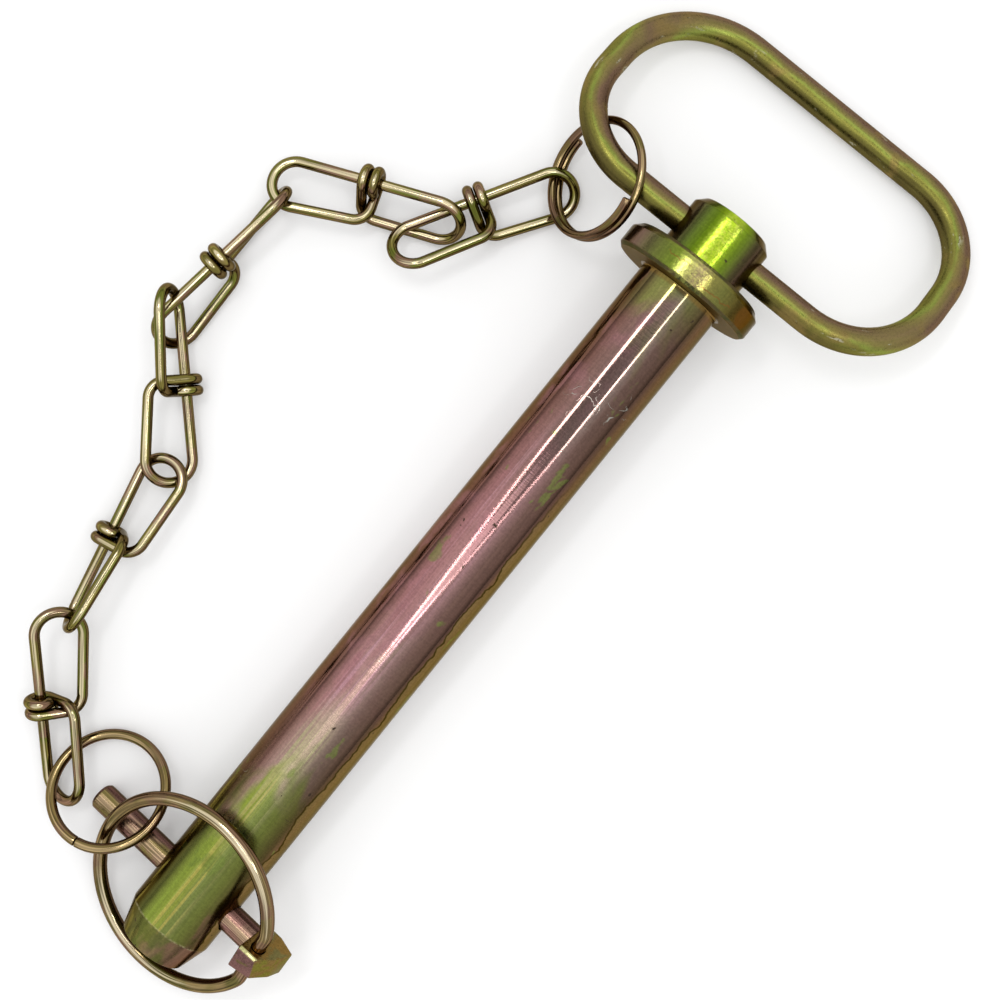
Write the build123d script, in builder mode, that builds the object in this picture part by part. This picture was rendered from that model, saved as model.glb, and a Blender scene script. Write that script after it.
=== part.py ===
"""Boom hitch pin: a collared steel pin with a wire handle, a linch pin, and the knotted chain between.

Everything is in millimetres. The origin is on the pin's axis at the bearing face of its collar,
+X runs along the pin towards its tip and +Z is up. The pin lies on a flat surface, on the rim of
its collar and on the edge of its tip, so its axis dips slightly towards the tip.
"""

from build123d import *
from math import asin, atan2, cos, degrees, hypot, radians, sin, sqrt
import os

os.makedirs("parts", exist_ok=True)

# ---- the pin: one forging, turned to size ----
SHANK_D = 25.4
SHANK_END_X = 225.4  # where the lead-in taper starts
TIP_X = 234.0
TIP_D = 20.2
ROOT_FILLET = 0.5
COLLAR_D = 43.4
COLLAR_T = 8.2
COLLAR_HEAD_CHAMFER = 2.0
COLLAR_BEARING_CHAMFER = 1.1
HEAD_END_X = -24.5
HEAD_CHAMFER = 2.3
HANDLE_HOLE_X = -16.0
CROSS_HOLE_D = 8.8
LINCH_HOLE_X = 213.4
LINCH_ROLL = 13.5  # degrees that the tip's cross hole is turned about the pin, from level

# ---- the bail handle ----
HANDLE_WIRE_D = 8.0
HANDLE_REACH = 57.3  # pivot to far bar, between centre lines
HANDLE_HALF_WIDTH = 56.6
HANDLE_SHIFT = 1.7  # the handle sits a little to one side in its loose hole
HANDLE_BENDS = (23.0, 29.0, 24.0, 27.0)  # hand-bent, so no two corners are quite alike
HANDLE_END_Y = 3.5  # each end stops this far from the pin's axis

# ---- the linch pin and its snap ring ----
LINCH_ROD_D = 8.0
LINCH_ROD_END = -39.4  # along the rod from the pin's axis
LINCH_ROD_CHAMFER = 0.8
BLOCK_NEAR = 21.5
BLOCK_FAR = 32.8
BLOCK_LOW = -3.8
BLOCK_HIGH = 9.5
BLOCK_T = 8.4
BLOCK_EDGE_CHAMFER = 0.9
RING_PIVOT_ALONG = 25.3
RING_PIVOT_ABOVE = 5.1
RING_HOLE_D = 4.5
RING_WIRE_D = 4.0
RING_R = 28.2
RING_BEND_R = 6.0
RING_STUB = 8.0  # half the straight across the pivot, where the ring's bends start
RING_END_GAP = 1.0  # half the gap between the ring's ends inside the block
RING_TILT = 25.0  # degrees that the ring's plane leans, about the rod
RING_CLOSED = 1.8  # degrees between the closed ring and the rod

# ---- the chain and the rings at its ends ----
LINK_WIRE_D = 3.1
LINK_HALF = 27.3  # knot to the centre line of each loop's end
LINK_LOOP_W = 14.2  # between centre lines at a loop's end
LINK_KNOT_W = 10.8  # leg to spine, where the leg turns in to the knot
LINK_TWIST = 60.0  # degrees between the two loops of a link
LINK_GAP = 0.12
LINK_KNOT_BEND_R = 3.0
LINK_LEG_BEND_R = 5.0
LINK_TAIL = 1.2
SPLIT_R = 16.6
SPLIT_WIRE_D = 2.4
SPLIT_PITCH = 2.55
SPLIT_TURN = 563.0
JOINING_R = 16.3
JOINING_WIRE_D = 3.0
JOINING_GAP = 1.2  # degrees left open at the butt joint

# ---- where the pin lies ----
shank_r = SHANK_D / 2
collar_r = COLLAR_D / 2
pitch = atan2(collar_r - shank_r, SHANK_END_X - COLLAR_BEARING_CHAMFER)
FLOOR_Z = -shank_r * cos(pitch) - SHANK_END_X * sin(pitch)

along_pin = Vector(cos(pitch), 0, -sin(pitch))
above_pin = Vector(sin(pitch), 0, cos(pitch))
pin_axis = Axis((0, 0, 0), along_pin)
pin_section = Plane(origin=(0, 0, 0), x_dir=along_pin, z_dir=(0, -1, 0))


def on_pin(distance):
    """The point on the pin's axis at a distance from the collar's bearing face."""
    return along_pin * distance


def wire_section(path, diameter):
    """A round section across the start of a wire's centre line."""
    with BuildSketch(Plane(origin=path @ 0, z_dir=path % 0)) as section:
        Circle(diameter / 2)
    return section.sketch


# ---- pin ----
handle_axis_at = on_pin(HANDLE_HOLE_X)
linch_axis_at = on_pin(LINCH_HOLE_X)
rod_dir = Vector(0, cos(radians(LINCH_ROLL)), 0) + above_pin * sin(radians(LINCH_ROLL))
rod_up = rod_dir.cross(along_pin) * -1

with BuildPart() as pin:
    with BuildSketch(pin_section) as pin_profile:
        with BuildLine():
            Polyline(
                (TIP_X, 0),
                (TIP_X, TIP_D / 2),
                (SHANK_END_X, shank_r),
                (ROOT_FILLET, shank_r),
            )
            CenterArc((ROOT_FILLET, shank_r + ROOT_FILLET), ROOT_FILLET, 180, 90)
            Polyline(
                (0, shank_r + ROOT_FILLET),
                (0, collar_r - COLLAR_BEARING_CHAMFER),
                (-COLLAR_BEARING_CHAMFER, collar_r),
                (COLLAR_HEAD_CHAMFER - COLLAR_T, collar_r),
                (-COLLAR_T, collar_r - COLLAR_HEAD_CHAMFER),
                (-COLLAR_T, shank_r),
                (HEAD_END_X + HEAD_CHAMFER, shank_r),
                (HEAD_END_X, shank_r - HEAD_CHAMFER),
                (HEAD_END_X, 0),
                (TIP_X, 0),
            )
        make_face()
    revolve(axis=pin_axis)
    with Locations(Plane(origin=handle_axis_at, z_dir=(0, 1, 0))):
        Hole(CROSS_HOLE_D / 2)
    with Locations(Plane(origin=linch_axis_at, z_dir=rod_dir)):
        Hole(CROSS_HOLE_D / 2)
pin.part.label = "pin"

# ---- handle: one bent rod whose ends spring into the head's cross hole ----
handle_drop = asin((handle_axis_at.Z - FLOOR_Z - HANDLE_WIRE_D / 2) / HANDLE_REACH)
handle_out = Vector(-cos(handle_drop), 0, -sin(handle_drop)) * HANDLE_REACH
handle_left = Vector(0, HANDLE_SHIFT - HANDLE_HALF_WIDTH, 0)
handle_right = Vector(0, HANDLE_SHIFT + HANDLE_HALF_WIDTH, 0)

with BuildPart() as handle:
    with BuildLine() as handle_path:
        FilletPolyline(
            handle_axis_at + Vector(0, -HANDLE_END_Y, 0),
            handle_axis_at + handle_left,
            handle_axis_at + handle_left + handle_out,
            handle_axis_at + handle_right + handle_out,
            handle_axis_at + handle_right,
            handle_axis_at + Vector(0, HANDLE_END_Y, 0),
            radius=HANDLE_BENDS,
        )
    sweep(sections=wire_section(handle_path.line, HANDLE_WIRE_D), path=handle_path.line)
handle.part.label = "handle"

# ---- linch pin: a rod with a forged block at one end ----
ring_lean = radians(RING_TILT)
pivot_dir = rod_up * sin(ring_lean) - along_pin * cos(ring_lean)
block_up = rod_up * cos(ring_lean) + along_pin * sin(ring_lean)
pivot_at = linch_axis_at + rod_dir * RING_PIVOT_ALONG + block_up * RING_PIVOT_ABOVE
front_at = linch_axis_at + pivot_dir * (BLOCK_T / 2)
block_front = Plane(origin=front_at, x_dir=rod_dir, z_dir=pivot_dir * -1)
block_back = block_front.offset(BLOCK_T)

# the block is forged, so its nose faces draw in from the front to the back
front_outline = [
    (BLOCK_NEAR, BLOCK_LOW),
    (27.2, BLOCK_LOW),
    (BLOCK_FAR, -1.9),
    (31.2, 3.5),
    (27.3, BLOCK_HIGH),
    (BLOCK_NEAR, BLOCK_HIGH),
]
back_outline = [
    (BLOCK_NEAR, BLOCK_LOW),
    (27.0, BLOCK_LOW),
    (32.5, -1.9),
    (31.4, 2.4),
    (28.3, 7.6),
    (BLOCK_NEAR, BLOCK_HIGH - 0.3),
]

with BuildPart() as block:
    for outline, plane in ((front_outline, block_front), (back_outline, block_back)):
        with BuildSketch(plane):
            with BuildLine():
                Polyline(*outline, close=True)
            make_face()
    loft(ruled=True)
    front_edges = faces().sort_by(Axis(linch_axis_at, pivot_dir))[-1].edges()
    chamfer(front_edges.sort_by(Axis(linch_axis_at, block_up))[-1], BLOCK_EDGE_CHAMFER)

with BuildPart() as linch_pin:
    with BuildSketch(Plane(origin=linch_axis_at + rod_dir * LINCH_ROD_END, z_dir=rod_dir)):
        Circle(LINCH_ROD_D / 2)
    extrude(amount=(BLOCK_NEAR + BLOCK_FAR) / 2 - LINCH_ROD_END)
    chamfer(faces().sort_by(Axis(linch_axis_at, rod_dir))[0].edges(), LINCH_ROD_CHAMFER)
    add(block.part)
    with Locations(Plane(origin=pivot_at, z_dir=pivot_dir)):
        Hole(RING_HOLE_D / 2)
linch_pin.part.label = "linch_pin"

# ---- linch ring: a sprung wire ring whose straight ends turn in the block ----
ring_shut = radians(RING_CLOSED)
ring_far = rod_dir * -cos(ring_shut) + block_up * sin(ring_shut)
bend_centre_x = sqrt((RING_R - RING_BEND_R) ** 2 - RING_STUB**2)
bend_angle = degrees(atan2(RING_STUB, bend_centre_x))
pivot_x = bend_centre_x + RING_BEND_R
ring_plane = Plane(
    origin=pivot_at + ring_far * pivot_x,
    x_dir=ring_far * -1,
    z_dir=(ring_far * -1).cross(pivot_dir),
)

with BuildPart() as linch_ring:
    with BuildLine(ring_plane) as linch_ring_path:
        Line((pivot_x, -RING_END_GAP), (pivot_x, -RING_STUB))
        CenterArc((bend_centre_x, -RING_STUB), RING_BEND_R, 0, -bend_angle)
        CenterArc((0, 0), RING_R, -bend_angle, 2 * bend_angle - 360)
        CenterArc((bend_centre_x, RING_STUB), RING_BEND_R, bend_angle, -bend_angle)
        Line((pivot_x, RING_STUB), (pivot_x, RING_END_GAP))
    sweep(
        sections=wire_section(linch_ring_path.line, RING_WIRE_D),
        path=linch_ring_path.line,
    )
linch_ring.part.label = "linch_ring"

# ---- split ring: a wire coil of about one and a half turns ----
split_plane = Plane(origin=(-11.1, -37.9, -5.7), x_dir=(-0.4, -0.76, -0.52), z_dir=(0.34, -0.65, 0.68))
split_rise = SPLIT_PITCH * SPLIT_TURN / 360

with BuildPart() as coil:
    with BuildLine() as coil_path:
        Helix(pitch=SPLIT_PITCH, height=split_rise, radius=SPLIT_R, center=(0, 0, -split_rise / 2))
    sweep(
        sections=wire_section(coil_path.line, SPLIT_WIRE_D),
        path=coil_path.line,
        is_frenet=True,
    )
with BuildPart() as split_ring:
    with Locations(split_plane.location):
        add(coil.part)
split_ring.part.label = "split_ring"

# ---- joining ring: a bent wire ring, its ends butted together ----
joining_plane = Plane(origin=(209.3, -37.0, -12.8), x_dir=(0.94, 0.14, 0.31), z_dir=(-0.27, -0.26, 0.93))

with BuildPart() as joining_ring:
    with BuildSketch(Plane(joining_plane.origin, x_dir=joining_plane.x_dir, z_dir=joining_plane.y_dir)):
        with Locations((JOINING_R, 0)):
            Circle(JOINING_WIRE_D / 2)
    revolve(
        axis=Axis(joining_plane.origin, joining_plane.z_dir),
        revolution_arc=360 - JOINING_GAP,
    )
joining_ring.part.label = "joining_ring"


# ---- chain links: each is one wire, looped at both ends and knotted round its own middle ----
def across(angle, distance):
    """A point at a distance from a link's spine, with its angle as seen from the tail loop."""
    return Vector(0, cos(radians(angle)), -sin(radians(angle))) * distance


def half_link(angle, turn, knot_x, loop_x):
    """Corners of half a link, from the cut end, twice round the spine and out to the loop's end."""
    wrap = LINK_WIRE_D + LINK_GAP
    side = angle + turn
    knot = Vector(knot_x, 0, 0)
    loop = Vector(loop_x, 0, 0)
    return [
        knot + across(angle, wrap) + across(side, LINK_TAIL),
        knot + across(angle, wrap) - across(side, wrap),
        knot - across(angle, wrap) - across(side, wrap),
        knot - across(angle, wrap) + across(side, wrap),
        knot + across(angle, LINK_KNOT_W) + across(side, wrap),
        loop + across(angle, LINK_LOOP_W),
        loop,
    ]


def link_plane(x, y, z, yaw, climb, roll):
    """A link's plane: its spine's heading, its climb, and its roll about the spine."""
    spine = Vector(cos(radians(yaw)), sin(radians(yaw)), 0) * cos(radians(climb))
    spine += Vector(0, 0, sin(radians(climb)))
    right = spine.cross(Vector(0, 0, 1)).normalized()
    up = right.cross(spine)
    loop = right * cos(radians(roll)) + up * sin(radians(roll))
    return Plane(origin=(x, y, z), x_dir=spine, z_dir=spine.cross(loop))


knot_offset = (LINK_WIRE_D + LINK_GAP) / 2
loop_bend_r = LINK_LOOP_W / 2 - 0.5
half_bends = [LINK_KNOT_BEND_R] * 3 + [LINK_LEG_BEND_R] + [loop_bend_r] * 2
front_half = half_link(0, 90, -knot_offset, LINK_HALF)
back_half = half_link(LINK_TWIST, -90, knot_offset, -LINK_HALF)
link_corners = [tuple(corner) for corner in front_half + back_half[::-1]]
link_bends = half_bends + half_bends[::-1]

link_places = [
    (13.5, -61.3, -14.6, 149.5, 2, -29.5),
    (28.6, -87.3, -12.0, 112, 7, -50.5),
    (73.3, -106.1, -8.0, 171.5, 3.5, -110),
    (106.5, -92.7, -16.2, -136.5, 3, 100),
    (153.7, -82.8, -16.6, -167.5, 2, 11.5),
    (202.9, -66.9, -13.8, -140, 16, -21),
]

links = []
for number, place in enumerate(link_places, start=1):
    with BuildPart() as link:
        with BuildLine(link_plane(*place)) as link_path:
            FilletPolyline(*link_corners, radius=link_bends)
        sweep(sections=wire_section(link_path.line, LINK_WIRE_D), path=link_path.line)
    link.part.label = f"link_{number}"
    links.append(link)

# ---- export ----
for piece in [pin, handle, linch_pin, linch_ring, split_ring, joining_ring] + links:
    export_step(piece.part, f"parts/{piece.part.label}.step")
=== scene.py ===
"""Boom hitch pin in worn yellow zinc plate, lying on a pale floor.

The origin is on the pin's axis at the collar's bearing face, +X runs towards the tip, +Z is up,
and every length here is in metres. A wire piece is a round section carried along its bent centre
line; the pin and the linch rod are profiles turned about their axes.
"""

from math import asin, atan2, cos, pi, radians, sin, sqrt

import bmesh
import bpy
import numpy as np
from mathutils import Matrix, Vector


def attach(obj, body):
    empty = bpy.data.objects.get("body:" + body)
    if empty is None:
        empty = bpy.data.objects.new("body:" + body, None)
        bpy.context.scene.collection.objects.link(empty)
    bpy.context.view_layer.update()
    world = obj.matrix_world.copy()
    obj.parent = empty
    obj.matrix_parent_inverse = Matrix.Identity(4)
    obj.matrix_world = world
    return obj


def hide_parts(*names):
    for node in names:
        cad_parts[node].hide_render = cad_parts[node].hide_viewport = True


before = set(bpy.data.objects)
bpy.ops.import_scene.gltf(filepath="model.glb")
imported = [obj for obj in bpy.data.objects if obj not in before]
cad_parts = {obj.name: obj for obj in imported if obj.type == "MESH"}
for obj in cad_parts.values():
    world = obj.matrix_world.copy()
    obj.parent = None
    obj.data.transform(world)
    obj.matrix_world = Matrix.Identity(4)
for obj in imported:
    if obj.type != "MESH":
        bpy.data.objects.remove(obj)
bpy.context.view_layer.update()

mm = 0.001


# ---------------------------------------------------------------- where things lie
def vec(*values):
    """A vector, or rows of vectors."""
    return np.array(values, float)


def unit(v):
    """The vector made one long."""
    return v / np.linalg.norm(v)


SHANK_R = 12.7 * mm
COLLAR_R = 21.7 * mm
COLLAR_BACK = -8.2 * mm
TAPER_AT = 225.4 * mm
CROSS_HOLE_R = 4.4 * mm

# the pin lies on the end of its shank and, to a tenth of a millimetre, on its collar, and so it
# points down by PITCH
REST_SPAN = (225.4 - 1.1) * mm
PITCH = atan2(COLLAR_R - SHANK_R, REST_SPAN)
ALONG = vec(cos(PITCH), 0, -sin(PITCH))
ABOVE = vec(sin(PITCH), 0, cos(PITCH))
ACROSS = vec(0, 1, 0)
FLOOR_Z = -SHANK_R * cos(PITCH) - TAPER_AT * sin(PITCH)

# the linch pin's rod rises from level by ROD_RISE, and its block leans back by LEAN
LINCH_AT = 213.4 * mm * ALONG
ROD_RISE = radians(13.5)
ROD_DIR = cos(ROD_RISE) * ACROSS + sin(ROD_RISE) * ABOVE
ROD_UP = -np.cross(ROD_DIR, ALONG)
LEAN = radians(25)
PIVOT_DIR = sin(LEAN) * ROD_UP - cos(LEAN) * ALONG
BLOCK_UP = cos(LEAN) * ROD_UP + sin(LEAN) * ALONG
PIVOT_AT = LINCH_AT + 25.3 * mm * ROD_DIR + 5.1 * mm * BLOCK_UP

HANDLE_AT = -16.0 * mm * ALONG
HANDLE_D = 8.0 * mm
HANDLE_REACH = 57.3 * mm
SHARP_ANGLE = radians(32)


# ---------------------------------------------------------------- shapes from arrays
def rounded_line(corners, radii, step):
    """A line through corners with each one rounded by an arc tangent to both its sides.

    At a corner with unit directions a in and b out and turn w, the arc starts r tan(w/2) before
    the corner and its centre is r / cos(w/2) from the corner along b - a. Its points are the
    centre plus r times the arc's start and end spokes mixed by sin((1-t)w) and sin(tw).
    """
    corners = [np.asarray(c, float) for c in corners]
    pieces, last = [], corners[0]
    for k in range(1, len(corners) - 1):
        a, b = unit(corners[k] - corners[k - 1]), unit(corners[k + 1] - corners[k])
        turn = np.arccos(np.clip(a @ b, -1, 1))
        r = radii[k - 1]
        start = corners[k] - a * r * np.tan(turn / 2)
        end = corners[k] + b * r * np.tan(turn / 2)
        centre = corners[k] + unit(b - a) * r / np.cos(turn / 2)
        n = max(2, int(np.linalg.norm(start - last) / step))
        pieces.append(last + np.linspace(0, 1, n, endpoint=False)[:, None] * (start - last))
        n = max(6, int(r * turn / (0.6 * step)))
        t = np.linspace(0, 1, n, endpoint=False)[:, None]
        spokes = np.sin((1 - t) * turn) * (start - centre) + np.sin(t * turn) * (end - centre)
        pieces.append(centre + spokes / np.sin(turn))
        last = end
    n = max(2, int(np.linalg.norm(corners[-1] - last) / step))
    pieces.append(last + np.linspace(0, 1, n + 1)[:, None] * (corners[-1] - last))
    return np.concatenate(pieces)


def carried_frame(line):
    """Tangents and two cross directions along a line, the first carried on with no twist."""
    ahead, behind = np.roll(line, -1, 0), np.roll(line, 1, 0)
    ahead[-1], behind[0] = line[-1], line[0]
    tangent = ahead - behind
    tangent /= np.linalg.norm(tangent, axis=1)[:, None]
    side = np.empty_like(line)
    seed = np.eye(3)[np.argmin(np.abs(tangent[0]))]
    for k, t in enumerate(tangent):
        seed = unit(seed - (seed @ t) * t)
        side[k] = seed
    return tangent, side, np.cross(tangent, side)


def linked(name, data):
    """An object with that mesh, lamp or camera, in the scene."""
    made = bpy.data.objects.new(name, data)
    bpy.context.scene.collection.objects.link(made)
    return made


def skin(name, grid, straight):
    """A mesh over a grid of points: rows along the piece, columns round it, the columns closed.

    Each end gets one more vertex, at the mean of its row, and a fan of triangles. The point
    attribute "straight" holds where each point was before the piece was bent.
    """
    rows, cols = grid.shape[:2]
    points = grid.reshape(-1, 3)
    r = np.arange(rows - 1)[:, None]
    c = np.arange(cols)[None]
    a = r * cols + c
    b = r * cols + (c + 1) % cols
    up = (r + 1) * cols
    quads = np.stack([a, b, up + (c + 1) % cols, up + c], -1).reshape(-1, 4)
    loops, sizes = [quads.ravel()], [np.full(len(quads), 4)]
    ring = np.arange(cols)
    extra, unbent = [], [straight.reshape(-1, 3)]
    for row in (0, rows - 1):
        tip = np.full(cols, len(points) + len(extra))
        extra.append(grid[row].mean(0))
        unbent.append(straight[row].mean(0)[None])
        rim = row * cols + ring
        following = row * cols + (ring + 1) % cols
        fan = [following, rim, tip] if row == 0 else [rim, following, tip]
        loops.append(np.stack(fan, -1).ravel())
        sizes.append(np.full(cols, 3))
    points = np.concatenate([points, np.array(extra)])
    loops, sizes = np.concatenate(loops), np.concatenate(sizes)
    mesh = bpy.data.meshes.new(name)
    mesh.vertices.add(len(points))
    mesh.vertices.foreach_set("co", points.astype(np.float32).ravel())
    mesh.loops.add(len(loops))
    mesh.loops.foreach_set("vertex_index", loops.astype(np.int32))
    mesh.polygons.add(len(sizes))
    starts = np.concatenate([[0], np.cumsum(sizes)[:-1]])
    mesh.polygons.foreach_set("loop_start", starts.astype(np.int32))
    mesh.update(calc_edges=True)
    mesh.validate()
    layer = mesh.attributes.new("straight", "FLOAT_VECTOR", "POINT")
    layer.data.foreach_set("vector", np.concatenate(unbent).astype(np.float32).ravel())
    mesh.polygons.foreach_set("use_smooth", np.ones(len(mesh.polygons), bool))
    return linked(name, mesh)


def wire(name, line, diameter, around, cut=0.35):
    """A round wire along a line: p(s, w) = line(s) + r(s) (side cos w + other sin w).

    It is cut square, with the rim of each cut broken over a fraction cut of its radius.
    """
    tangent, side, other = carried_frame(line)
    bevel = cut * diameter / 2
    inset, drop = vec(0, 0.15, 0.5, 1.0), vec(1.0, 0.55, 0.16, 0.0)
    steps = len(inset)
    head = line[0] + (inset * bevel)[:, None] * tangent[0]
    tail = line[-1] - (inset[::-1] * bevel)[:, None] * tangent[-1]
    keep = slice(3, -3)
    line = np.concatenate([head, line[keep], tail])
    middle = np.zeros(len(line) - 2 * steps)
    r = np.concatenate([-drop * bevel, middle, -drop[::-1] * bevel]) + diameter / 2
    side, other = (
        np.concatenate([np.repeat(a[:1], steps, 0), a[keep], np.repeat(a[-1:], steps, 0)])
        for a in (side, other)
    )
    w = np.linspace(0, 2 * pi, around, endpoint=False)
    spokes = side[:, None] * np.cos(w)[None, :, None] + other[:, None] * np.sin(w)[None, :, None]
    grid = line[:, None] + r[:, None, None] * spokes
    run = np.concatenate([[0], np.cumsum(np.linalg.norm(np.diff(line, axis=0), axis=1))])
    straight = np.stack(
        np.broadcast_arrays(run[:, None], r[:, None] * np.cos(w), r[:, None] * np.sin(w)), -1
    )
    return skin(name, grid, straight)


def turned(name, profile, origin, axis, around):
    """A profile of (distance along, radius) turned about an axis.

    p(s, w) = origin + x(s) axis + r(s) spoke(w), where the spoke at w is side cos w + other sin w.
    """
    axis = unit(axis)
    side = unit(np.cross(axis, vec(0, 0, 1))) if abs(axis[2]) < 0.9 else vec(1, 0, 0)
    other = np.cross(axis, side)
    w = np.linspace(0, 2 * pi, around, endpoint=False)
    spokes = np.cos(w)[:, None] * side + np.sin(w)[:, None] * other
    grid = origin + profile[:, :1, None] * axis + profile[:, 1:, None] * spokes[None]
    x, r = profile[:, :1], profile[:, 1:]
    straight = np.stack(np.broadcast_arrays(x, r * np.cos(w), r * np.sin(w)), -1)
    return skin(name, grid, straight)


def turned_profile(corners, radii, step):
    """A turned piece's outline, its corners broken by small arcs, as (distance, radius) rows."""
    flat = rounded_line([(x, r, 0) for x, r in corners], radii, step)
    return flat[:, :2]


def finished(piece):
    """The piece with its modifiers worked into its mesh, and its sharp edges kept sharp."""
    graph = bpy.context.evaluated_depsgraph_get()
    done = bpy.data.meshes.new_from_object(piece.evaluated_get(graph))
    piece.modifiers.clear()
    old, piece.data = piece.data, done
    bpy.data.meshes.remove(old)
    done.polygons.foreach_set("use_smooth", np.ones(len(done.polygons), bool))
    done.set_sharp_from_angle(angle=SHARP_ANGLE)
    return piece


def drilled(piece, holes):
    """The piece with round holes cut through it, each given by a point, a direction and a radius."""
    for point, direction, radius in holes:
        rod = vec((-50 * mm, radius), (50 * mm, radius))
        drill = turned("drill", rod, point, direction, 96)
        cut = piece.modifiers.new("drill", "BOOLEAN")
        cut.operation = "DIFFERENCE"
        cut.solver = "EXACT"
        cut.object = drill
        finished(piece)
        bpy.data.objects.remove(drill)
    return piece


# ---------------------------------------------------------------- the pin
pin_profile = turned_profile(
    [
        (-24.5 * mm, 0.3 * mm),
        (-24.5 * mm, 10.4 * mm),
        (-22.2 * mm, 12.7 * mm),
        (COLLAR_BACK, 12.7 * mm),
        (COLLAR_BACK, 19.7 * mm),
        (-6.2 * mm, COLLAR_R),
        (-1.1 * mm, COLLAR_R),
        (0.0 * mm, 20.6 * mm),
        (0.0 * mm, SHANK_R),
        (TAPER_AT, SHANK_R),
        (234.0 * mm, 10.1 * mm),
        (234.0 * mm, 0.3 * mm),
    ],
    [r * mm for r in (0.4, 0.5, 0.3, 0.4, 0.4, 0.25, 0.25, 0.5, 0.25, 0.4)],
    1.5 * mm,
)
pin = turned("pin_turned", pin_profile, vec(0, 0, 0), ALONG, 192)
drilled(pin, [(HANDLE_AT, ACROSS, CROSS_HOLE_R), (LINCH_AT, ROD_DIR, CROSS_HOLE_R)])

# ---------------------------------------------------------------- the handle
# its far side rests on the floor
handle_drop = asin((HANDLE_AT[2] - FLOOR_Z - HANDLE_D / 2) / HANDLE_REACH)
handle_out = -HANDLE_REACH * vec(cos(handle_drop), 0, sin(handle_drop))
left, right = vec(0, -54.9 * mm, 0), vec(0, 58.3 * mm, 0)
handle_line = rounded_line(
    [
        HANDLE_AT + vec(0, -3.5 * mm, 0),
        HANDLE_AT + left,
        HANDLE_AT + left + handle_out,
        HANDLE_AT + right + handle_out,
        HANDLE_AT + right,
        HANDLE_AT + vec(0, 3.5 * mm, 0),
    ],
    [23.0 * mm, 29.0 * mm, 24.0 * mm, 27.0 * mm],
    1.2 * mm,
)
handle = wire("handle_rod", handle_line, HANDLE_D, 56, cut=0.15)


# ---------------------------------------------------------------- the linch pin and its ring
def ring_line():
    """The snap ring's centre line, from one end in the block round to the other.

    In the ring's plane, x is towards the pivot from the ring's centre and y along the pivot:
    a straight stub at the pivot, a 6 mm bend, the wide arc, a 6 mm bend and the other stub.
    """
    big, small, stub, stub_end = 28.2 * mm, 6.0 * mm, 8.0 * mm, 1.0 * mm
    bend_x = sqrt((big - small) ** 2 - stub**2)
    swing = atan2(stub, bend_x)
    reach = bend_x + small
    t = np.linspace(0, 1, 10)[:, None]
    stub_in = vec(reach, -stub_end) * (1 - t) + vec(reach, -stub) * t
    turn = -swing * np.linspace(0, 1, 12)[1:]
    bend_in = vec(bend_x, -stub) + small * np.stack([np.cos(turn), np.sin(turn)], 1)
    turn = np.linspace(-swing, swing - 2 * pi, 220)[1:]
    arc = big * np.stack([np.cos(turn), np.sin(turn)], 1)
    bend_out, stub_out = (bend_in * (1, -1))[::-1][1:], (stub_in * (1, -1))[::-1]
    flat = np.concatenate([stub_in, bend_in, arc, bend_out, stub_out])
    shut = radians(1.8)
    far = -cos(shut) * ROD_DIR + sin(shut) * BLOCK_UP
    return PIVOT_AT + reach * far - flat[:, :1] * far + flat[:, 1:] * PIVOT_DIR


linch_ring = wire("linch_ring_wire", ring_line(), 4.0 * mm, 36, cut=0.1)

rod_profile = turned_profile(
    [(x * mm, r * mm) for x, r in ((-39.4, 0.2), (-39.4, 3.3), (-38.6, 4.0), (22.8, 4.0))],
    [0.35 * mm, 0.45 * mm],
    0.8 * mm,
)
linch_rod = turned("linch_rod", rod_profile, LINCH_AT, ROD_DIR, 72)


def forged_block():
    """The linch pin's block: two six-sided faces, front and back, joined by flat sides.

    A corner is at a along the rod, h above it and d towards the front. The front face's top edge
    is cut back to a flat 0.9 mm wide, and then every edge is rounded.
    """
    front = [(21.5, -3.8), (27.2, -3.8), (32.8, -1.9), (31.2, 3.5), (27.9, 8.6), (21.5, 8.6)]
    shelf = [(27.4, 9.45), (21.5, 9.45)]
    back = [(21.5, -3.8), (27.0, -3.8), (32.5, -1.9), (31.4, 2.4), (28.3, 7.6), (21.5, 9.2)]
    corners = [(*c, 4.2) for c in front] + [(*c, 3.3) for c in shelf] + [(*c, -4.2) for c in back]
    a, h, d = np.array(corners).T[:, :, None] * mm
    points = LINCH_AT + a * ROD_DIR + h * BLOCK_UP + d * PIVOT_DIR
    under = [(0, 1, 9, 8), (1, 2, 10, 9), (2, 3, 11, 10)]
    over = [(3, 4, 6, 12, 11), (4, 5, 7, 6), (6, 7, 13, 12), (5, 0, 8, 13, 7)]
    faces = [(5, 4, 3, 2, 1, 0), (8, 9, 10, 11, 12, 13)] + under + over
    mesh = bpy.data.meshes.new("linch_block")
    mesh.from_pydata(points.tolist(), [], faces)
    block = linked("linch_block", mesh)
    outwards = bmesh.new()
    outwards.from_mesh(mesh)
    bmesh.ops.recalc_face_normals(outwards, faces=outwards.faces)
    outwards.to_mesh(mesh)
    outwards.free()
    ease = block.modifiers.new("ease", "BEVEL")
    ease.width, ease.segments, ease.limit_method = 0.42 * mm, 4, "NONE"
    finished(block)
    return drilled(block, [(PIVOT_AT, PIVOT_DIR, 2.25 * mm)])


linch_block = forged_block()


# ---------------------------------------------------------------- rings
def coil(centre, start, axis, radius, degrees, rise=0.0):
    """A coil's centre line: centre + radius (x cos w + y sin w) + rise (w - middle w) / 2 pi axis.

    x is the start direction, squared up to the axis, and w runs over the values in degrees.
    """
    axis = unit(axis)
    x = unit(start - (start @ axis) * axis)
    w = np.radians(degrees)[:, None]
    climb = rise * (w / (2 * pi) - degrees.mean() / 360) * axis
    return centre + radius * (np.cos(w) * x + np.sin(w) * np.cross(axis, x)) + climb


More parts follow.
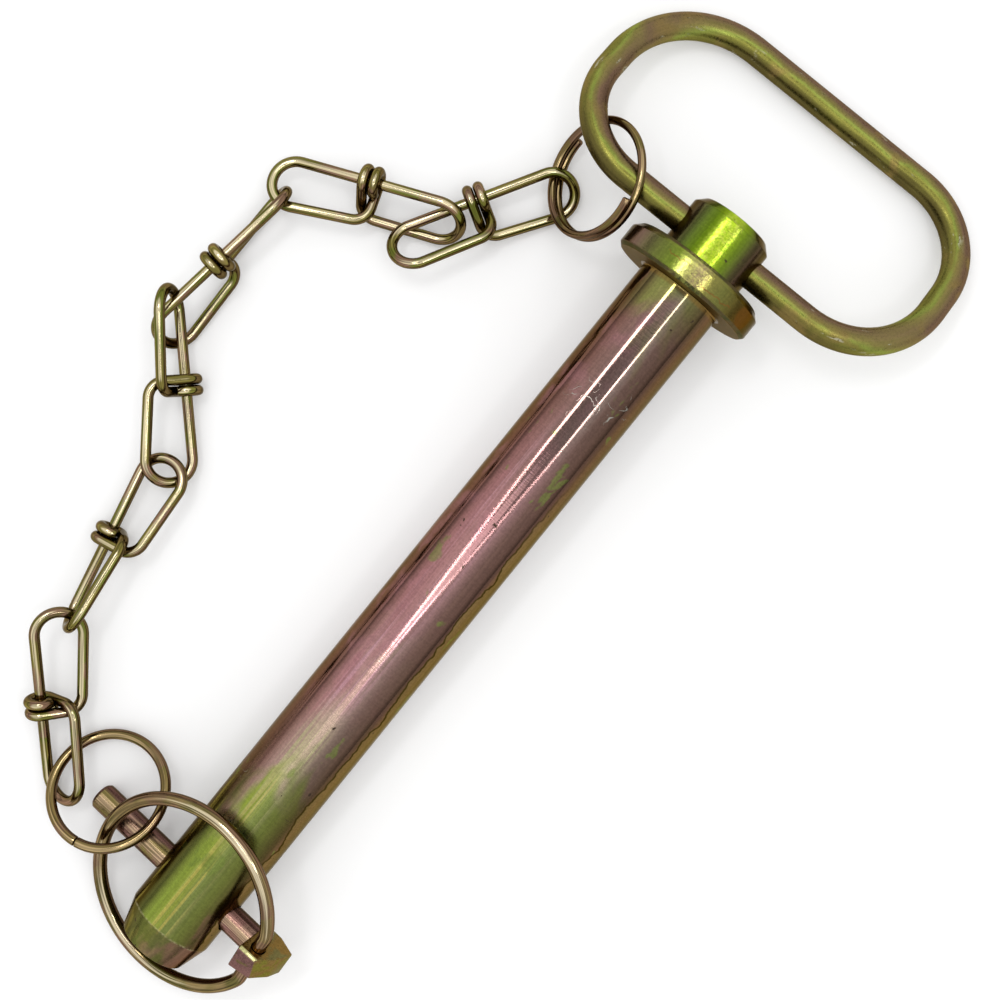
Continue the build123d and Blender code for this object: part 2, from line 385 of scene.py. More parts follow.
split_line = coil(
    vec(-11.1, -37.9, -5.7) * mm,
    vec(-0.4, -0.76, -0.52),
    vec(0.34, -0.65, 0.68),
    16.6 * mm,
    np.linspace(0, 563, 260),
    rise=2.55 * mm,
)
split_ring = wire("split_ring_coil", split_line, 2.4 * mm, 24)

join_line = coil(
    vec(209.3, -37.0, -12.8) * mm,
    vec(0.94, 0.14, 0.31),
    vec(-0.27, -0.26, 0.93),
    16.3 * mm,
    np.linspace(0.6, 359.4, 200),
)
joining_ring = wire("joining_ring_wire", join_line, 3.0 * mm, 28, cut=0.12)


# ---------------------------------------------------------------- chain links
def across(angle, distance):
    """A step square to the spine, at an angle in degrees round it."""
    return vec(0, cos(radians(angle)), -sin(radians(angle))) * distance


def half_link(angle, turn, knot_x, loop_x):
    """Corners of half a link, from the cut end, round the spine and out to the loop's end."""
    wrap, shoulder, far_corner = 3.22 * mm, 10.8 * mm, 14.2 * mm
    side = angle + turn
    knot, loop = vec(knot_x, 0, 0), vec(loop_x, 0, 0)
    return [
        knot + across(angle, wrap) + across(side, 1.2 * mm),
        knot + across(angle, wrap) - across(side, wrap),
        knot - across(angle, wrap) - across(side, wrap),
        knot - across(angle, wrap) + across(side, wrap),
        knot + across(angle, shoulder) + across(side, wrap),
        loop + across(angle, far_corner),
        loop,
    ]


KNOT_X, LOOP_X, LOOP_TURN = 1.61 * mm, 27.3 * mm, 60
bends = [r * mm for r in (3.0, 3.0, 3.0, 5.0, 6.6, 6.6)]
front_half = half_link(0, 90, -KNOT_X, LOOP_X)
back_half = half_link(LOOP_TURN, -90, KNOT_X, -LOOP_X)
link_line = rounded_line(front_half + back_half[::-1], bends + bends[::-1], 0.7 * mm)


def link_axes(yaw, climb, roll):
    """Rows: the spine, the front loop's side and their cross product, from angles in degrees."""
    yaw, climb, roll = radians(yaw), radians(climb), radians(roll)
    spine = vec(cos(yaw) * cos(climb), sin(yaw) * cos(climb), sin(climb))
    right = unit(np.cross(spine, vec(0, 0, 1)))
    loop = right * cos(roll) + np.cross(right, spine) * sin(roll)
    return np.stack([spine, loop, np.cross(spine, loop)])


# each link's middle in millimetres, then its heading, climb and roll
LINKS = [
    (13.5, -61.3, -14.6, 149.5, 2, -29.5),
    (28.6, -87.3, -12.0, 112, 7, -50.5),
    (73.3, -106.1, -8.0, 171.5, 3.5, -110),
    (106.5, -92.7, -16.2, -136.5, 3, 100),
    (153.7, -82.8, -16.6, -167.5, 2, 11.5),
    (202.9, -66.9, -13.8, -140, 16, -21),
]
links = []
for number, place in enumerate(LINKS, start=1):
    line = vec(*place[:3]) * mm + link_line @ link_axes(*place[3:])
    links.append(wire(f"link_{number}_wire", line, 3.1 * mm, 24))


# ---------------------------------------------------------------- finishes
def tone(red, green, blue):
    """A colour given as 0-255 display values, in the linear values that a shader takes."""
    c = np.array([red, green, blue]) / 255
    return (*np.where(c <= 0.04045, c / 12.92, ((c + 0.055) / 1.055) ** 2.4), 1.0)


class Nodes:
    """Short names for building a node tree, in a new material or in a world."""

    def __init__(self, name, world=None):
        self.material = world or bpy.data.materials.new(name)
        self.material.use_nodes = True
        self.tree = self.material.node_tree
        self.tree.nodes.clear()

    def node(self, kind, values=None, **settings):
        made = self.tree.nodes.new(kind)
        for key, value in settings.items():
            setattr(made, key, value)
        for key, value in (values or {}).items():
            if isinstance(value, bpy.types.NodeSocket):
                self.tree.links.new(value, made.inputs[key])
            else:
                made.inputs[key].default_value = value
        return made

    def math(self, operation, a, b=0.0, c=0.0):
        return self.node("ShaderNodeMath", {0: a, 1: b, 2: c}, operation=operation).outputs[0]

    def plus(self, a, b):
        return self.math("ADD", a, b)

    def minus(self, a, b):
        return self.math("SUBTRACT", a, b)

    def times(self, a, b, *more):
        product = self.math("MULTIPLY", a, b)
        return self.times(product, *more) if more else product

    def scaled(self, value, size, middle):
        """middle + size times the value."""
        return self.math("MULTIPLY_ADD", value, size, middle)

    def centred(self, value, size):
        """A noise, which lies about a half, moved to lie about nought and scaled."""
        return self.times(self.minus(value, 0.5), size)

    def distance(self, a, b):
        """How far apart two values are."""
        return self.math("ABSOLUTE", self.minus(a, b))

    def mix(self, factor, a, b, blend="MIX"):
        made = self.node("ShaderNodeMix", data_type="RGBA", blend_type=blend)
        for index, value in ((0, factor), (6, a), (7, b)):
            if isinstance(value, bpy.types.NodeSocket):
                self.tree.links.new(value, made.inputs[index])
            else:
                made.inputs[index].default_value = value
        return made.outputs[2]

    def band(self, value, low, high, to_low=0.0, to_high=1.0):
        """to_low up to the value low, to_high past the value high, and a smooth step between."""
        values = {"Value": value, "From Min": low, "From Max": high}
        values.update({"To Min": to_low, "To Max": to_high})
        return self.node("ShaderNodeMapRange", values, interpolation_type="SMOOTHSTEP").outputs[0]

    def ramp(self, value, stops):
        """A colour read off a list of (place from 0 to 1, colour)."""
        made = self.node("ShaderNodeValToRGB", {"Fac": value})
        band = made.color_ramp
        while len(band.elements) < len(stops):
            band.elements.new(0.5)
        for element, (at, colour) in zip(band.elements, stops):
            element.position, element.color = at, colour
        return made.outputs[0]

    def noise(self, vector, scale, detail=3.0, roughness=0.55, distortion=0.0):
        values = {
            "Vector": vector,
            "Scale": scale,
            "Detail": detail,
            "Roughness": roughness,
            "Distortion": distortion,
        }
        return self.node("ShaderNodeTexNoise", values).outputs[0]

    def speckled(self, colour, amount):
        """The colour made darker or lighter by an amount around 1."""
        grey = self.node("ShaderNodeCombineColor", {0: amount, 1: amount, 2: amount}).outputs[0]
        return self.mix(1.0, colour, grey, "MULTIPLY")

    def away(self, vector, spot):
        """How far the vector is from a spot."""
        made = self.node("ShaderNodeVectorMath", {0: vector, 1: spot}, operation="DISTANCE")
        return made.outputs["Value"]

    def towards(self, normal, way):
        """The cosine of the angle between the normal and a way of length one."""
        made = self.node("ShaderNodeVectorMath", {0: normal, 1: tuple(way)}, operation="DOT_PRODUCT")
        return made.outputs["Value"]

    def coat(self, colour, roughness, height, distance, edge):
        """Plated steel: a metal of that colour over a bump, its glancing tint pulled down to edge."""
        bump = self.node("ShaderNodeBump", {"Strength": 0.35, "Distance": distance, "Height": height})
        shader = self.node(
            "ShaderNodeBsdfPrincipled",
            {
                "Base Color": colour,
                "Metallic": 1.0,
                "Roughness": roughness,
                "Specular Tint": edge,
                "Normal": bump.outputs[0],
            },
        )
        self.node("ShaderNodeOutputMaterial", {"Surface": shader.outputs[0]})
        return self.material

    def stretched(self, vector, scale, location=(0, 0, 0)):
        made = self.node("ShaderNodeMapping", {"Vector": vector, "Scale": scale, "Location": location})
        return made.outputs[0]


# colours by place round a piece: from its chain side at 0, over its top at 0.5, to its far side at 1;
# they are the plate's tint with painted reflection and shade in it, lighter over the top where the
# lamps reflect, darker towards the sides, and on the pin thin dark lines near both edges where the
# horizon reflects
HANDLE_TONES = [
    (0.0, tone(84, 74, 42)),
    (0.2, tone(100, 92, 48)),
    (0.42, tone(126, 124, 58)),
    (0.5, tone(136, 146, 68)),
    (0.58, tone(130, 122, 68)),
    (0.75, tone(118, 94, 74)),
    (1.0, tone(92, 70, 56)),
]
MIDDLE_TONES = [
    (0.0, tone(112, 86, 70)),
    (0.075, tone(108, 76, 60)),
    (0.11, tone(104, 70, 58)),
    (0.17, tone(128, 90, 84)),
    (0.28, tone(162, 114, 114)),
    (0.45, tone(164, 122, 120)),
    (0.6, tone(146, 112, 110)),
    (0.7, tone(112, 86, 78)),
    (0.87, tone(88, 64, 54)),
    (0.92, tone(112, 84, 58)),
    (1.0, tone(100, 88, 62)),
]
NECK_TONES = [
    (0.0, tone(110, 86, 66)),
    (0.075, tone(104, 74, 56)),
    (0.11, tone(100, 70, 54)),
    (0.17, tone(124, 88, 78)),
    (0.28, tone(134, 102, 94)),
    (0.5, tone(138, 112, 106)),
    (0.6, tone(136, 116, 108)),
    (0.68, tone(104, 82, 74)),
    (0.87, tone(86, 64, 52)),
    (0.92, tone(108, 82, 58)),
    (1.0, tone(104, 92, 70)),
]
PALE_TONES = [
    (0.0, tone(112, 88, 74)),
    (0.075, tone(106, 76, 62)),
    (0.17, tone(124, 90, 80)),
    (0.28, tone(170, 138, 128)),
    (0.45, tone(176, 154, 136)),
    (0.58, tone(142, 122, 110)),
    (0.7, tone(110, 90, 80)),
    (0.87, tone(88, 68, 48)),
    (0.92, tone(114, 86, 60)),
    (1.0, tone(98, 88, 60)),
]
TIP_TONES = [
    (0.0, tone(94, 78, 52)),
    (0.09, tone(62, 52, 22)),
    (0.16, tone(92, 94, 48)),
    (0.28, tone(134, 150, 62)),
    (0.4, tone(140, 150, 62)),
    (0.5, tone(114, 124, 66)),
    (0.68, tone(102, 108, 52)),
    (0.86, tone(84, 70, 42)),
    (0.92, tone(112, 84, 62)),
    (1.0, tone(96, 86, 60)),
]
HEAD_TONES = [
    (0.0, tone(70, 46, 30)),
    (0.09, tone(88, 76, 56)),
    (0.2, tone(92, 106, 46)),
    (0.32, tone(102, 128, 24)),
    (0.41, tone(152, 180, 42)),
    (0.54, tone(152, 178, 40)),
    (0.61, tone(120, 148, 30)),
    (0.7, tone(104, 124, 40)),
    (0.8, tone(84, 80, 48)),
    (0.88, tone(78, 60, 48)),
    (1.0, tone(92, 82, 48)),
]
RIM_TONES = [
    (0.0, tone(64, 46, 28)),
    (0.09, tone(112, 90, 78)),
    (0.2, tone(104, 106, 58)),
    (0.35, tone(116, 134, 46)),
    (0.42, tone(166, 170, 90)),
    (0.52, tone(166, 148, 108)),
    (0.6, tone(130, 124, 66)),
    (0.7, tone(112, 112, 58)),
    (0.85, tone(86, 68, 28)),
    (0.93, tone(80, 64, 36)),
    (1.0, tone(70, 62, 40)),
]


# painted shade for wire flanks and a painted shadow line low on wire sides, a wandering dark line on
# the pin, and the plate's glancing reflections on the pin, on wire and on satin pieces
FLANK_SHADE_BROWN = tone(112, 86, 64)
PAINTED_SHADOW_LINE = tone(52, 40, 24)
WANDERING_LINE_BROWN = tone(56, 46, 16)
PIN_EDGE = tone(205, 196, 180)
WIRE_EDGE = tone(214, 206, 192)
SATIN_EDGE = tone(205, 198, 184)

# on the collar's rim: hairlines as (x, the sine of the angle from the top at each end), and a stain
HAIRLINES = [(-5.8 * mm, 0.1, 0.62), (-7.9 * mm, -0.45, -0.05)]
STAIN_AT = (-4.0 * mm, 17.5 * mm, 12.5 * mm)
# rubbed places on the shank, each with its reach
RUBS = [
    ((40.0 * mm, -1.0 * mm, 12.7 * mm), 8.0 * mm),
    ((36.0 * mm, 6.0 * mm, 11.2 * mm), 7.0 * mm),
    ((180.0 * mm, -9.8 * mm, 8.0 * mm), 4.0 * mm),
]
# the way that the handle's painted mauve reflection faces
MAUVE_WAY = unit(vec(-0.8, 0.45, 0))


def streaked(n, place, along, across):
    """Fine streaks: noise drawn out along the first axis of a straightened piece."""
    return n.noise(n.stretched(place, (along, across, across)), 1.0, 3.0, 0.6)


def wire_plate(name, painted_highlight, crown, patch_one, patch_two, shaded_flank, rough, grain, offset):
    """Yellow zinc on drawn wire: a painted highlight on top, then a crown tone that drifts into two
    patches.

    The flanks are painted darker, as shade, with a thin painted shadow line where they turn under,
    and drawing streaks run along the wire.
    """
    n = Nodes(name)
    straight = n.node("ShaderNodeAttribute", attribute_name="straight").outputs["Vector"]
    coords = n.node("ShaderNodeTexCoord")
    place, normal = coords.outputs["Object"], coords.outputs["Normal"]
    rise = n.node("ShaderNodeSeparateXYZ", {0: normal}).outputs[2]
    drift = n.noise(n.stretched(place, (1, 1, 1), (offset, offset, offset)), 70.0, 2.0, 0.5, 0.4)
    other_drift = n.noise(n.stretched(place, (1, 1, 1), (offset, 3.0, 1.0)), 95.0, 2.0, 0.5, 0.4)
    streak = streaked(n, straight, 40.0, 2400.0)
    fine = n.noise(place, 1900.0, 3.0, 0.6)
    tilt = n.plus(rise, n.centred(streak, 0.3))
    colour = n.mix(n.band(drift, 0.46, 0.58), crown, patch_one)
    colour = n.mix(n.band(other_drift, 0.5, 0.6, 0.0, 0.85), colour, patch_two)
    # a painted highlight on the crown, painted shade on the flanks, and a thin painted shadow line low
    # on the sides
    colour = n.mix(n.band(tilt, 0.9, 0.97, 0.0, 0.85), colour, painted_highlight)
    colour = n.mix(n.band(tilt, 0.8, 0.55), colour, shaded_flank)
    colour = n.mix(n.band(n.distance(rise, 0.1), 0.3, 0.1, 0.0, 0.7), colour, PAINTED_SHADOW_LINE)
    colour = n.speckled(colour, n.band(streak, 0.38, 0.62, 0.58, 1.18))
    height = n.plus(n.times(streak, 0.7), n.times(fine, grain))
    roughness = n.band(fine, 0.35, 0.7, rough * 0.8, rough * 1.3)
    return n.coat(colour, roughness, height, 0.04 * mm, WIRE_EDGE)


def handle_plate():
    """Satin plate on the handle: olive, with a lime stripe to one side of its top and a mauve side,
    which are painted reflection and shade, set by the way that the surface faces.

    lean is the cosine between the way that the surface faces and MAUVE_WAY, shifted by noise, and
    (lean + 1) / 2 is the place on the ramp. Bright dings are smears drawn out along the rod, kept
    to a few worn places.
    """
    n = Nodes("handle_plate")
    straight = n.node("ShaderNodeAttribute", attribute_name="straight").outputs["Vector"]
    coords = n.node("ShaderNodeTexCoord")
    place, normal = coords.outputs["Object"], coords.outputs["Normal"]
    drift = n.noise(place, 45.0, 3.0, 0.55, 0.4)
    streak = streaked(n, straight, 70.0, 1500.0)
    fine = n.noise(place, 1500.0, 3.0, 0.6)
    lean = n.plus(n.towards(normal, MAUVE_WAY), n.centred(drift, 0.9))
    lean = n.plus(lean, n.centred(streak, 0.2))
    # painted reflection and shade: lime over the top, mauve on the side facing MAUVE_WAY, dark olive
    # on the other
    colour = n.ramp(n.scaled(lean, 0.5, 0.5), HANDLE_TONES)
    tan_patch = n.band(n.noise(place, 90.0, 2.0, 0.5, 0.3), 0.52, 0.66, 0.0, 0.7)
    colour = n.mix(tan_patch, colour, tone(132, 112, 66))
    mixed = n.plus(n.times(streak, 0.5), n.times(fine, 0.5))
    colour = n.speckled(colour, n.band(mixed, 0.36, 0.64, 0.86, 1.12))
    smears = n.band(n.noise(n.stretched(straight, (170.0, 620.0, 620.0)), 1.0, 3.0, 0.6), 0.6, 0.66)
    dings = n.times(smears, n.band(n.noise(place, 70.0, 2.0, 0.6), 0.54, 0.62))
    bare = n.mix(n.band(fine, 0.42, 0.5), tone(74, 66, 44), tone(178, 174, 150))
    colour = n.mix(n.times(dings, 0.75), colour, bare)
    height = n.plus(n.times(n.plus(streak, fine), 0.5), n.times(dings, -1.5))
    return n.coat(colour, n.band(fine, 0.35, 0.7, 0.26, 0.4), height, 0.05 * mm, SATIN_EDGE)


def pin_plate():
    """The pin's plate: brown by the collar, mauve along the middle, then pale, then green at the tip.

    x runs along the pin and side = y / distance from its axis, so side is the sine of the angle
    from the top, and (side + 1) / 2 is the place on a ramp. drift is x moved to and fro by noise,
    so that the lengths meet raggedly. Streaks are noise drawn out along x, and turning rings are
    noise squeezed along x.
    """
    n = Nodes("pin_plate")
    place = n.node("ShaderNodeTexCoord").outputs["Object"]
    local = n.node("ShaderNodeMapping", {"Vector": place, "Rotation": (0, -PITCH, 0)}).outputs[0]
    x, y, z = n.node("ShaderNodeSeparateXYZ", {0: local}).outputs
    radius = n.math("SQRT", n.plus(n.times(y, y), n.times(z, z)))
    broad = n.noise(n.stretched(local, (0.45, 1, 1)), 60.0, 3.0, 0.55, 0.5)
    cloud = n.noise(n.stretched(local, (0.6, 1, 1), (0.3, 0.1, 0)), 110.0, 3.0, 0.6, 0.2)
    fibre = n.noise(n.stretched(local, (14.0, 900.0, 900.0)), 1.0, 4.0, 0.65)
    silk = n.noise(n.stretched(local, (9.0, 520.0, 520.0), (0.2, 0.4, 0)), 1.0, 3.0, 0.6)
    grain = n.noise(local, 1500.0, 3.0, 0.65)
    rings = n.noise(n.stretched(local, (2600.0, 120.0, 120.0)), 1.0, 2.0, 0.55)
    side = n.plus(n.math("DIVIDE", y, radius), n.centred(fibre, 0.05))
    around = n.scaled(side, 0.5, 0.5)
    drift = n.plus(x, n.centred(broad, 0.11))

    # the shank in four lengths that run into one another, each coloured off a ramp round the pin that
    # holds painted reflection and shade
    colour = n.ramp(around, MIDDLE_TONES)
    colour = n.mix(n.band(drift, 0.085, 0.045), colour, n.ramp(around, NECK_TONES))
    colour = n.mix(n.band(drift, 0.125, 0.155), colour, n.ramp(around, PALE_TONES))
    to_tip = n.band(drift, 0.164, 0.182)
    to_collar = n.band(drift, 0.018, 0.002, 0.0, 0.65)
    colour = n.mix(n.math("MAXIMUM", to_tip, to_collar), colour, n.ramp(around, TIP_TONES))
    # painted highlight streaks, pale pink and then yellowish, along the top where the lamps reflect
    on_top = n.times(n.band(side, -0.5, -0.35), n.band(side, 0.25, 0.05))
    on_top = n.times(on_top, n.band(x, 0.04, 0.08), n.band(x, 0.2, 0.17, 0.35, 1.0))
    highlight_streaks = n.times(n.band(silk, 0.49, 0.62, 0.0, 0.65), on_top)
    highlight_streak_tone = n.mix(n.band(x, 0.14, 0.16), tone(206, 160, 170), tone(178, 174, 128))
    colour = n.mix(highlight_streaks, colour, highlight_streak_tone)
    # thin painted highlight streaks along the tip
    tip_highlight_streaks = n.times(n.band(silk, 0.56, 0.62, 0.0, 0.55), n.band(drift, 0.17, 0.19))
    colour = n.mix(n.times(tip_highlight_streaks, n.band(side, 0.2, 0.0)), colour, tone(188, 172, 84))
    mauve_patch = n.times(n.band(cloud, 0.5, 0.6, 0.0, 0.55), n.band(x, 0.2, 0.215))
    colour = n.mix(n.times(mauve_patch, n.band(side, 0.1, 0.4)), colour, tone(116, 86, 70))
    pinker = n.times(n.band(cloud, 0.5, 0.66, 0.0, 0.3), n.band(x, 0.16, 0.13))
    colour = n.mix(n.times(pinker, n.band(side, 0.3, -0.1)), colour, tone(172, 118, 128))
    greener = n.times(n.band(cloud, 0.37, 0.33, 0.0, 0.55), n.band(x, 0.0, 0.05))
    colour = n.mix(greener, colour, tone(110, 126, 58))
    greyer = n.times(n.band(broad, 0.55, 0.62, 0.0, 0.6), n.band(x, 0.15, 0.19))
    colour = n.mix(greyer, colour, tone(116, 112, 96))

    # a wandering dark line low on one side, with ochre below it
    level = n.noise(n.stretched(local, (60.0, 0.0, 0.0)), 1.0, 4.0, 0.6)
    below = n.minus(side, n.scaled(level, 0.5, 0.53))
    ochre = n.times(n.band(below, 0.0, 0.02, 0.0, 0.4), n.band(x, 0.05, 0.09))
    colour = n.mix(n.times(ochre, n.band(z, 0.0, 0.002)), colour, tone(128, 110, 58))
    wandering_line = n.band(n.math("ABSOLUTE", below), 0.024, 0.01, 0.0, 0.95)
    wandering_line = n.times(wandering_line, n.band(x, 0.05, 0.09), n.band(z, 0.0, 0.002))
    colour = n.mix(wandering_line, colour, WANDERING_LINE_BROWN)

    # the head, the collar's rim with two rusty hairlines and a stain, and the faces; the head's and
    # the rim's ramps carry a painted highlight band over the top
    head = n.ramp(around, HEAD_TONES)
    head = n.mix(n.band(broad, 0.5, 0.66, 0.0, 0.45), head, tone(118, 108, 76))
    rim = n.ramp(around, RIM_TONES)
    wave = n.noise(n.stretched(local, (0.0, 1, 1)), 170.0, 3.0, 0.6)
    for level_x, low, high in HAIRLINES:
        line = n.band(n.distance(x, n.scaled(wave, 0.006, level_x)), 0.00022, 0.0001, 0.0, 0.6)
        line = n.times(line, n.band(side, low, low + 0.05), n.band(side, high, high - 0.05))
        rim = n.mix(line, rim, tone(124, 74, 34))
    stain = n.band(n.away(local, STAIN_AT), 0.0042, 0.003, 0.0, 0.6)
    rim = n.mix(stain, rim, tone(98, 60, 20))
    face = n.mix(n.band(cloud, 0.42, 0.6), tone(72, 74, 46), tone(90, 78, 54))
    is_face = n.band(n.distance(x, COLLAR_BACK / 2), 3.0 * mm, 3.4 * mm)
    rim = n.mix(is_face, rim, face)
    is_head = n.band(x, COLLAR_BACK + 0.4 * mm, COLLAR_BACK)
    is_collar = n.band(radius, SHANK_R + 0.7 * mm, SHANK_R + 1.1 * mm)
    colour = n.mix(is_head, colour, head)
    colour = n.mix(is_collar, colour, rim)
    root = n.times(n.band(x, 0.0018, 0.0008), n.band(x, -0.0001, 0.0))
    colour = n.mix(n.times(root, 0.6), colour, tone(122, 94, 44))

    # the tip's taper is duller than the shank, past a thin painted highlight on its edge
    dull = n.mix(n.band(n.scaled(side, 0.2, cloud), 0.46, 0.6), tone(88, 84, 48), tone(120, 86, 76))
    is_taper = n.band(x, TAPER_AT - 0.3 * mm, TAPER_AT + 0.2 * mm, 0.0, 0.7)
    colour = n.mix(is_taper, colour, dull)
    edge_highlight = n.band(n.distance(x, TAPER_AT - 0.1 * mm), 0.4 * mm, 0.1 * mm, 0.0, 0.35)
    colour = n.mix(n.times(edge_highlight, n.band(grain, 0.4, 0.55)), colour, tone(180, 170, 132))

    coarse = n.math("MAXIMUM", is_head, is_collar)
    mixed = n.plus(n.times(n.plus(fibre, grain), 0.42), n.times(rings, 0.16))
    colour = n.speckled(colour, n.band(mixed, 0.37, 0.63, 0.82, 1.16))
    # painted glints in the bright band over the top of the head and the collar
    painted_glints = n.times(coarse, n.band(side, -0.4, -0.15), n.band(side, 0.3, 0.1))
    painted_glints = n.times(painted_glints, n.band(n.noise(local, 1300.0, 3.0, 0.7), 0.42, 0.62, 0.0, 0.34))
    colour = n.mix(painted_glints, colour, tone(212, 214, 108))

    # rubs and scratches: thin level lines of a noise, kept to a few places
    scribble = n.distance(n.noise(local, 150.0, 2.0, 0.4, 1.0), 0.5)
    worn = n.band(n.noise(local, 420.0, 2.0, 0.5), 0.45, 0.6)
    near = 0.0
    for spot, reach in RUBS:
        near = n.math("MAXIMUM", near, n.band(n.away(local, spot), reach, reach * 0.5))
    marks = n.times(n.band(scribble, 0.012, 0.003), worn, near)
    colour = n.mix(n.times(marks, 0.75), colour, tone(176, 178, 168))
    pits = n.band(n.noise(local, 340.0, 2.0, 0.5), 0.725, 0.75)
    colour = n.mix(pits, colour, tone(66, 54, 44))

    roughness = n.plus(n.band(grain, 0.35, 0.65, 0.06, 0.1), n.times(coarse, 0.1))
    satin = n.times(n.band(drift, 0.13, 0.18, 0.0, 0.2), n.band(x, 0.205, 0.195, 0.5, 1.0))
    roughness = n.plus(roughness, satin)
    roughness = n.plus(roughness, n.times(marks, 0.3))
    roughness = n.plus(roughness, n.times(is_face, is_collar, 0.25))
    rough_grain = n.times(grain, n.scaled(coarse, 2.6, 0.25))
    height = n.plus(n.plus(rings, rough_grain), n.times(n.plus(marks, pits), -1.5))
    height = n.plus(height, n.times(fibre, 0.6))
    return n.coat(colour, roughness, height, 0.03 * mm, PIN_EDGE)


def block_plate():
    """The forged block's plate: mauve on top, ochre towards the head, a painted highlight on the edge
    between them; the tones by facing are partly painted reflection.
    """
    n = Nodes("block_plate")
    coords = n.node("ShaderNodeTexCoord")
    place, normal = coords.outputs["Object"], coords.outputs["Normal"]
    cloud = n.noise(place, 260.0, 3.0, 0.55, 0.5)
    fine = n.noise(place, 1500.0, 3.0, 0.6)
    colour = n.mix(n.band(cloud, 0.4, 0.62), tone(116, 110, 48), tone(124, 100, 58))
    ochre_side = n.mix(n.band(cloud, 0.44, 0.6), tone(126, 100, 52), tone(112, 104, 62))
    colour = n.mix(n.band(n.towards(normal, PIVOT_DIR), 0.55, 0.85), colour, ochre_side)
    mauve_side = n.mix(n.band(cloud, 0.5, 0.66), tone(128, 94, 90), tone(116, 100, 70))
    colour = n.mix(n.band(n.towards(normal, BLOCK_UP), 0.6, 0.85), colour, mauve_side)
    # a painted highlight on the faces that look between PIVOT_DIR and BLOCK_UP
    edge = n.towards(normal, unit(PIVOT_DIR + BLOCK_UP))
    colour = n.mix(n.band(edge, 0.9, 0.97, 0.0, 0.8), colour, tone(190, 188, 132))
    colour = n.speckled(colour, n.band(fine, 0.34, 0.66, 0.84, 1.14))
    height = n.plus(cloud, n.times(fine, 0.5))
    return n.coat(colour, n.band(fine, 0.35, 0.7, 0.2, 0.34), height, 0.1 * mm, SATIN_EDGE)


pin_finish, block_finish, handle_finish = pin_plate(), block_plate(), handle_plate()
linch_ring_finish = wire_plate(
    "linch_ring_plate",
    painted_highlight=tone(214, 200, 168),
    crown=tone(142, 122, 82),
    patch_one=tone(112, 104, 60),
    patch_two=tone(136, 106, 84),
    shaded_flank=FLANK_SHADE_BROWN,
    rough=0.13,
    grain=0.5,
    offset=0.3,
)
ring_finish = wire_plate(
    "ring_plate",
    painted_highlight=tone(186, 162, 120),
    crown=tone(126, 108, 66),
    patch_one=tone(112, 102, 56),
    patch_two=tone(130, 100, 80),
    shaded_flank=FLANK_SHADE_BROWN,
    rough=0.13,
    grain=0.35,
    offset=0.5,
)
link_finish = wire_plate(
    "link_plate",
    painted_highlight=tone(214, 200, 164),
    crown=tone(128, 118, 60),
    patch_one=tone(110, 114, 48),
    patch_two=tone(140, 106, 90),
    shaded_flank=tone(106, 88, 54),
    rough=0.13,
    grain=0.35,
    offset=0.7,
)
rod_finish = wire_plate(
    "rod_plate",
    painted_highlight=tone(194, 166, 134),
    crown=tone(154, 122, 106),
    patch_one=tone(130, 116, 70),
    patch_two=tone(156, 114, 106),
    shaded_flank=tone(116, 84, 76),
    rough=0.28,
    grain=1.8,
    offset=1.1,
)

PIECES = [
    (pin, "pin", "pin", pin_finish),
    (handle, "handle", "handle", handle_finish),
    (linch_ring, "linch_ring", "linch_ring", linch_ring_finish),
    (linch_rod, "linch_pin", "linch_pin", rod_finish),
    (linch_block, "linch_pin", "linch_pin", block_finish),
    (split_ring, "split_ring", "split_ring", ring_finish),
    (joining_ring, "joining_ring", "joining_ring", ring_finish),
]
PIECES += [(link, f"link_{k}", "chain_link", link_finish) for k, link in enumerate(links, start=1)]
for piece, body, slot, plate in PIECES:
    piece.data.materials.clear()
    piece.data.materials.append(plate)
    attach(piece, body)
    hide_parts(body)


# ---------------------------------------------------------------- floor, light and camera
FLOOR_REACH = 12.0
FLOOR_GAP = 0.05 * mm
FLOOR_WHITE, FLOOR_LIFT = 0.88, 0.12

floor_mesh = bpy.data.meshes.new("floor")
corner_signs = [(-1, -1), (1, -1), (1, 1), (-1, 1)]
floor_corners = [(x * FLOOR_REACH, y * FLOOR_REACH, FLOOR_Z - FLOOR_GAP) for x, y in corner_signs]
floor_mesh.from_pydata(floor_corners, [], [(0, 1, 2, 3)])
floor = linked("floor", floor_mesh)
n = Nodes("floor_white")
matt = n.node("ShaderNodeBsdfDiffuse", {"Color": (FLOOR_WHITE, FLOOR_WHITE, FLOOR_WHITE, 1)})
ray = n.node("ShaderNodeLightPath").outputs
seen_by = n.math("MAXIMUM", ray["Is Camera Ray"], ray["Is Glossy Ray"])
seen_by = n.math("MAXIMUM", seen_by, ray["Is Transmission Ray"])
glow = n.node("ShaderNodeEmission", {"Color": (1, 1, 1, 1), "Strength": n.times(seen_by, FLOOR_LIFT)})
both = n.node("ShaderNodeAddShader", {0: matt.outputs[0], 1: glow.outputs[0]})
n.node("ShaderNodeOutputMaterial", {"Surface": both.outputs[0]})
floor.data.materials.append(n.material)


def placed(x, y, z, origin):
    """The matrix that puts the x, y and z axes along those directions, from the origin."""
    return Matrix.Translation(Vector(origin)) @ Matrix((x, y, z)).transposed().to_4x4()


def lamp(name, place, along, length, width, radiance):
    """An area lamp facing down, its length along a level direction.

    Its power in watts is radiance * pi * length * width, for a radiance in watts per square metre
    per steradian.
    """
    light = bpy.data.lights.new(name, "AREA")
    light.shape = "RECTANGLE"
    light.size, light.size_y = length, width
    light.energy = radiance * pi * length * width
    x = Vector(along).normalized()
    z = Vector((0, 0, 1))
    linked(name, light).matrix_world = placed(x, z.cross(x), z, place)


